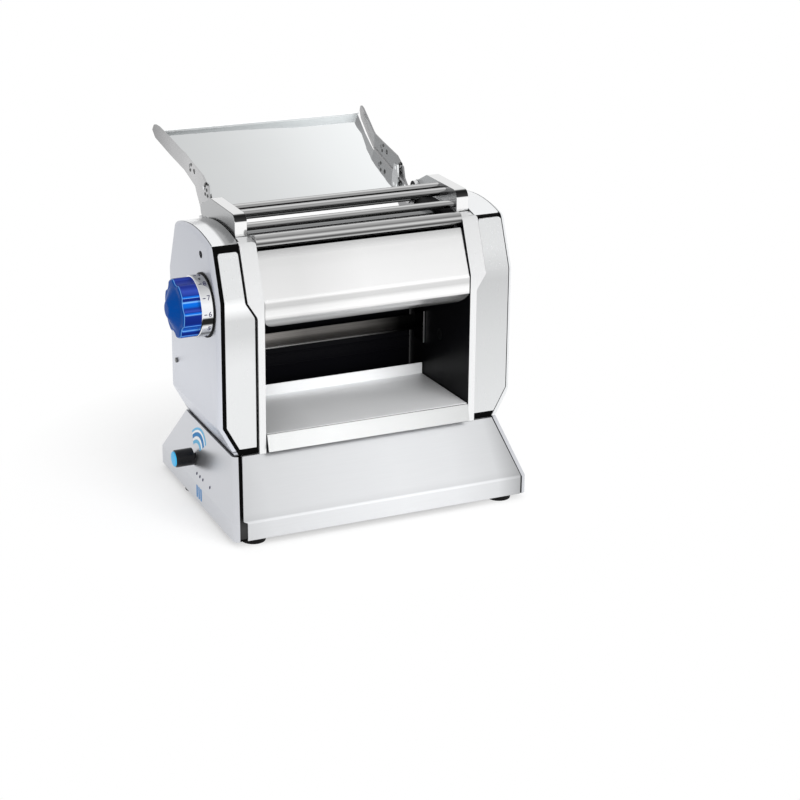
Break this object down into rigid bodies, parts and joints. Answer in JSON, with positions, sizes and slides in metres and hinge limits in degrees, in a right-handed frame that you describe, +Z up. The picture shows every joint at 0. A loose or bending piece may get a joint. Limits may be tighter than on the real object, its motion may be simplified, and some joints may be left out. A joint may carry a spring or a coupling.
{
  "type": "electric pasta maker",
  "caption": "Electric pasta machine: sheet-metal base with motor, two gear housings, smooth rollers with gap gauge, hinged rod guard, feed tray and outlet tray",
  "frame": {"origin": "below the middle of the whole machine, on the surface the feet stand on", "axes": "+X along the rollers away from the gap gauge, +Y from the outlet side to the feed tray, +Z up"},
  "size_m": [0.3556, 0.342, 0.3448],
  "materials": {
    "satin_steel": "satin stainless steel sheet",
    "frame_steel": "satin machined frames and brackets",
    "dark_liner": "matt black paint",
    "black_rubber": "matt",
    "black_plastic": "moulded",
    "blue_plastic": "moulded, glossy",
    "drum_metal": "satin turned",
    "polished_steel": "polished stainless steel",
    "brushed_steel": "brushed stainless steel",
    "gear_steel": "milled",
    "bronze": "plain bearing bronze",
    "motor_casting": "cast"
  },
  "bodies": {
    "base": {"base_deck": "satin_steel", "base_plate": "dark_liner", "cord_gland": "black_plastic", "cover_screws": "brushed_steel", "deflector": "brushed_steel", "front_bar": "polished_steel", "front_base_panel": "satin_steel", "front_panel": "polished_steel", "gearbox": "motor_casting", "guard_pins": "brushed_steel", "idler_axles": "gear_steel", "left_base_panel": "satin_steel", "left_base_seal": "dark_liner", "left_frame": "frame_steel", "left_front_cover": "satin_steel", "left_housing_liner": "dark_liner", "left_rear_cover": "satin_steel", "left_side_cover": "satin_steel", "left_top_cover": "satin_steel", "left_tray_arm": "brushed_steel", "motor": "motor_casting", "outlet_tray": "brushed_steel", "rear_base_panel": "satin_steel", "rear_panel": "satin_steel", "right_base_panel": "satin_steel", "right_base_seal": "dark_liner", "right_frame": "frame_steel", "right_front_cover": "satin_steel", "right_housing_liner": "dark_liner", "right_rear_cover": "satin_steel", "right_side_cover": "satin_steel", "right_top_cover": "satin_steel", "right_tray_arm": "brushed_steel", "roller_bushings": "bronze", "rubber_feet": "black_rubber", "scrapers": "brushed_steel", "selector_switch": "black_plastic", "tie_rods": "brushed_steel", "tray_pins": "brushed_steel"},
    "guard": {"left_guard_bracket": "frame_steel", "right_guard_bracket": "frame_steel", "guard_rods": "polished_steel"},
    "feed_tray": {"feed_tray": "polished_steel", "tray_stops": "brushed_steel"},
    "gauge": {"gauge_shaft": "gear_steel", "gauge_drum": "drum_metal", "gauge_knob": "blue_plastic"},
    "front_blocks": {"left_bearing_block": "gear_steel", "right_bearing_block": "gear_steel"},
    "front_roller": {"front_roller": "polished_steel", "front_roller_gear": "gear_steel"},
    "rear_roller": {"rear_roller": "polished_steel", "rear_roller_gear": "gear_steel", "drive_gear": "gear_steel"},
    "lower_idler": {"lower_idler_gear": "gear_steel"},
    "middle_idler": {"middle_idler_gear": "gear_steel"},
    "upper_idler": {"upper_idler_gear": "gear_steel"},
    "pinion": {"drive_pinion": "gear_steel"},
    "selector": {"selector_knob": "black_plastic"}
  },
  "joints": [
    {"name": "guard_lift", "type": "hinge", "parent": "base", "child": "guard", "pos_m": [0.01865, 0.001, 0.292], "axis": [1, 0, 0], "range_deg": [-72, 0]},
    {"name": "tray_lift", "type": "hinge", "parent": "base", "child": "feed_tray", "pos_m": [0.01865, 0.009, 0.279], "axis": [1, 0, 0], "range_deg": [0, 28]},
    {"name": "gauge_turn", "type": "hinge", "parent": "base", "child": "gauge", "pos_m": [0.01865, -0.094, 0.225], "axis": [1, 0, 0], "range_deg": [-90, 180]},
    {"name": "gap_slide", "type": "slide", "parent": "base", "child": "front_blocks", "axis": [0, -1, 0], "range_m": [-0.00105, 0.0021]},
    {"name": "front_roller_spin", "type": "hinge", "parent": "front_blocks", "child": "front_roller", "pos_m": [0.01865, -0.087, 0.2615], "axis": [1, 0, 0], "continuous": true},
    {"name": "rear_roller_spin", "type": "hinge", "parent": "base", "child": "rear_roller", "pos_m": [0.01865, -0.0465, 0.2615], "axis": [1, 0, 0], "continuous": true},
    {"name": "lower_idler_spin", "type": "hinge", "parent": "base", "child": "lower_idler", "pos_m": [0.01865, -0.0749, 0.0857], "axis": [1, 0, 0], "continuous": true},
    {"name": "middle_idler_spin", "type": "hinge", "parent": "base", "child": "middle_idler", "pos_m": [0.01865, -0.062, 0.1494], "axis": [1, 0, 0], "continuous": true},
    {"name": "upper_idler_spin", "type": "hinge", "parent": "base", "child": "upper_idler", "pos_m": [0.01865, -0.03779, 0.20973], "axis": [1, 0, 0], "continuous": true},
    {"name": "pinion_spin", "type": "hinge", "parent": "base", "child": "pinion", "pos_m": [0.01865, -0.057, 0.0417], "axis": [1, 0, 0], "continuous": true},
    {"name": "selector_turn", "type": "hinge", "parent": "base", "child": "selector", "pos_m": [0.01865, -0.038, 0.046], "axis": [1, 0, 0], "range_deg": [-60, 60]}
  ],
  "couplings": [
    {"joint": "gauge_turn", "follows": "gap_slide", "rad_per_m": 1496},
    {"joint": "front_roller_spin", "follows": "rear_roller_spin", "ratio": -1},
    {"joint": "upper_idler_spin", "follows": "rear_roller_spin", "ratio": -0.61538},
    {"joint": "middle_idler_spin", "follows": "rear_roller_spin", "ratio": 0.61538},
    {"joint": "lower_idler_spin", "follows": "rear_roller_spin", "ratio": -0.61538},
    {"joint": "pinion_spin", "follows": "rear_roller_spin", "ratio": 1.3333}
  ]
}
